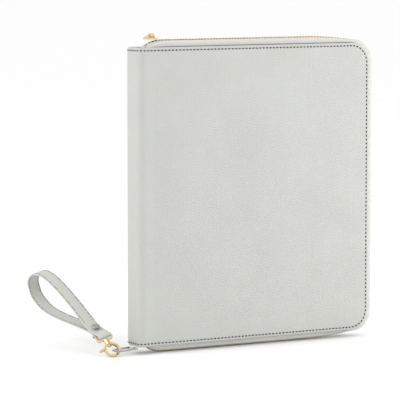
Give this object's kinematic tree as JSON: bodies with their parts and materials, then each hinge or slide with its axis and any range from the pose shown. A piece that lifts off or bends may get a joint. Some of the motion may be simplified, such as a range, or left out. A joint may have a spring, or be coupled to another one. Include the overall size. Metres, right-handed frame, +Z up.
{
  "type": "zip-round prayer book with wrist strap",
  "caption": "Square prayer book in a padded leatherette cover that zips round three sides, standing upright, with a wrist strap clipped to the foot of its spine.",
  "frame": {"origin": "on the lowest line of the closed zip, midway between spine and fore-edge, at mid thickness", "axes": "+X from spine to fore-edge, front cover faces -Y, +Z up from tail to head"},
  "size_m": [0.2946, 0.1396, 0.2838],
  "materials": {
    "cover_leatherette": "cross-hatch embossed, matte",
    "cover_foam": "closed-cell foam",
    "grey_board": "pressed board",
    "cover_lining": "plain weave",
    "glued_mull": "open-weave cloth set in glue",
    "band_cotton": "twisted cotton",
    "zip_tape": "twill tape",
    "zip_brass": "polished",
    "leaf_paper": "uncoated",
    "end_paper": "uncoated",
    "gold_hardware": "pale gold plate, polished",
    "ring_nickel": "nickel plate, polished",
    "strap_leatherette": "cross-hatch embossed, matte"
  },
  "bodies": {
    "spine": {"spine_skin": "cover_leatherette", "spine_board": "grey_board", "block_back": "glued_mull", "head_band": "band_cotton", "tail_band": "band_cotton", "foot_tab": "strap_leatherette"},
    "front_cover": {"front_cover_skin": "cover_leatherette", "front_cover_padding": "cover_foam", "front_cover_board": "grey_board", "front_cover_lining": "cover_lining", "front_zip_tape": "zip_tape", "front_zip_teeth": "zip_brass"},
    "back_cover": {"back_cover_skin": "cover_leatherette", "back_cover_padding": "cover_foam", "back_cover_board": "grey_board", "back_cover_lining": "cover_lining", "back_zip_tape": "zip_tape", "back_zip_teeth": "zip_brass"},
    "front_pages": {"front_leaves": "leaf_paper", "front_endpaper": "end_paper"},
    "back_pages": {"back_leaves": "leaf_paper", "back_endpaper": "end_paper"},
    "zip_slider": {"slider_body": "gold_hardware", "slider_bail": "gold_hardware"},
    "zip_pull": {"pull_tab": "gold_hardware"},
    "ring": {"d_ring": "ring_nickel"},
    "clasp": {"clasp_hook": "gold_hardware", "gate_pin": "gold_hardware"},
    "gate": {"clasp_gate": "gold_hardware"},
    "swivel": {"swivel_eye": "gold_hardware"},
    "strap": {"strap_loop": "strap_leatherette", "strap_rivet": "ring_nickel"}
  },
  "joints": [
    {"name": "front_cover_hinge", "type": "hinge", "parent": "spine", "child": "front_cover", "pos_m": [-0.112, -0.013, 0.139], "axis": [0, 0, -1], "range_deg": [0, 170]},
    {"name": "back_cover_hinge", "type": "hinge", "parent": "spine", "child": "back_cover", "pos_m": [-0.112, 0.013, 0.139], "axis": [0, 0, 1], "range_deg": [0, 60]},
    {"name": "front_pages_turn", "type": "hinge", "parent": "spine", "child": "front_pages", "pos_m": [-0.112, -0.013, 0.139], "axis": [0, 0, -1], "range_deg": [0, 160]},
    {"name": "back_pages_turn", "type": "hinge", "parent": "spine", "child": "back_pages", "pos_m": [-0.112, 0.013, 0.139], "axis": [0, 0, 1], "range_deg": [0, 57]},
    {"name": "zip_slide", "type": "slide", "parent": "back_cover", "child": "zip_slider", "axis": [1, 0, 0], "range_m": [0, 0.16]},
    {"name": "pull_swing", "type": "hinge", "parent": "zip_slider", "child": "zip_pull", "pos_m": [-0.1015, 0, 0.2816], "axis": [1, 0, 0], "range_deg": [0, 200]},
    {"name": "ring_swing", "type": "hinge", "parent": "spine", "child": "ring", "pos_m": [-0.1244, -0.007, 0.006], "axis": [0, 1, 0], "range_deg": [0, 12]},
    {"name": "clasp_swing", "type": "hinge", "parent": "ring", "child": "clasp", "pos_m": [-0.14186, -0.007, 0.00478], "axis": [0, 1, 0], "range_deg": [-10, 6]},
    {"name": "clasp_trigger", "type": "hinge", "parent": "clasp", "child": "gate", "pos_m": [-0.15025, -0.00328, 0.00652], "axis": [0.1862, 0.6947, -0.6948], "range_deg": [0, 30], "stiffness_Nm_per_rad": 0.002, "springref_deg": -11.46},
    {"name": "swivel_spin", "type": "hinge", "parent": "clasp", "child": "swivel", "pos_m": [-0.14589, 0.00087, 0.01184], "axis": [-0.1798, 0.7193, 0.671], "continuous": true},
    {"name": "strap_swing", "type": "hinge", "parent": "swivel", "child": "strap", "pos_m": [-0.14727, 0.00641, 0.01701], "axis": [0.9659, 0, 0.2588], "range_deg": [-12, 35]}
  ],
  "couplings": [
    {"joint": "front_pages_turn", "follows": "front_cover_hinge", "ratio": 0.94},
    {"joint": "back_pages_turn", "follows": "back_cover_hinge", "ratio": 0.94}
  ]
}
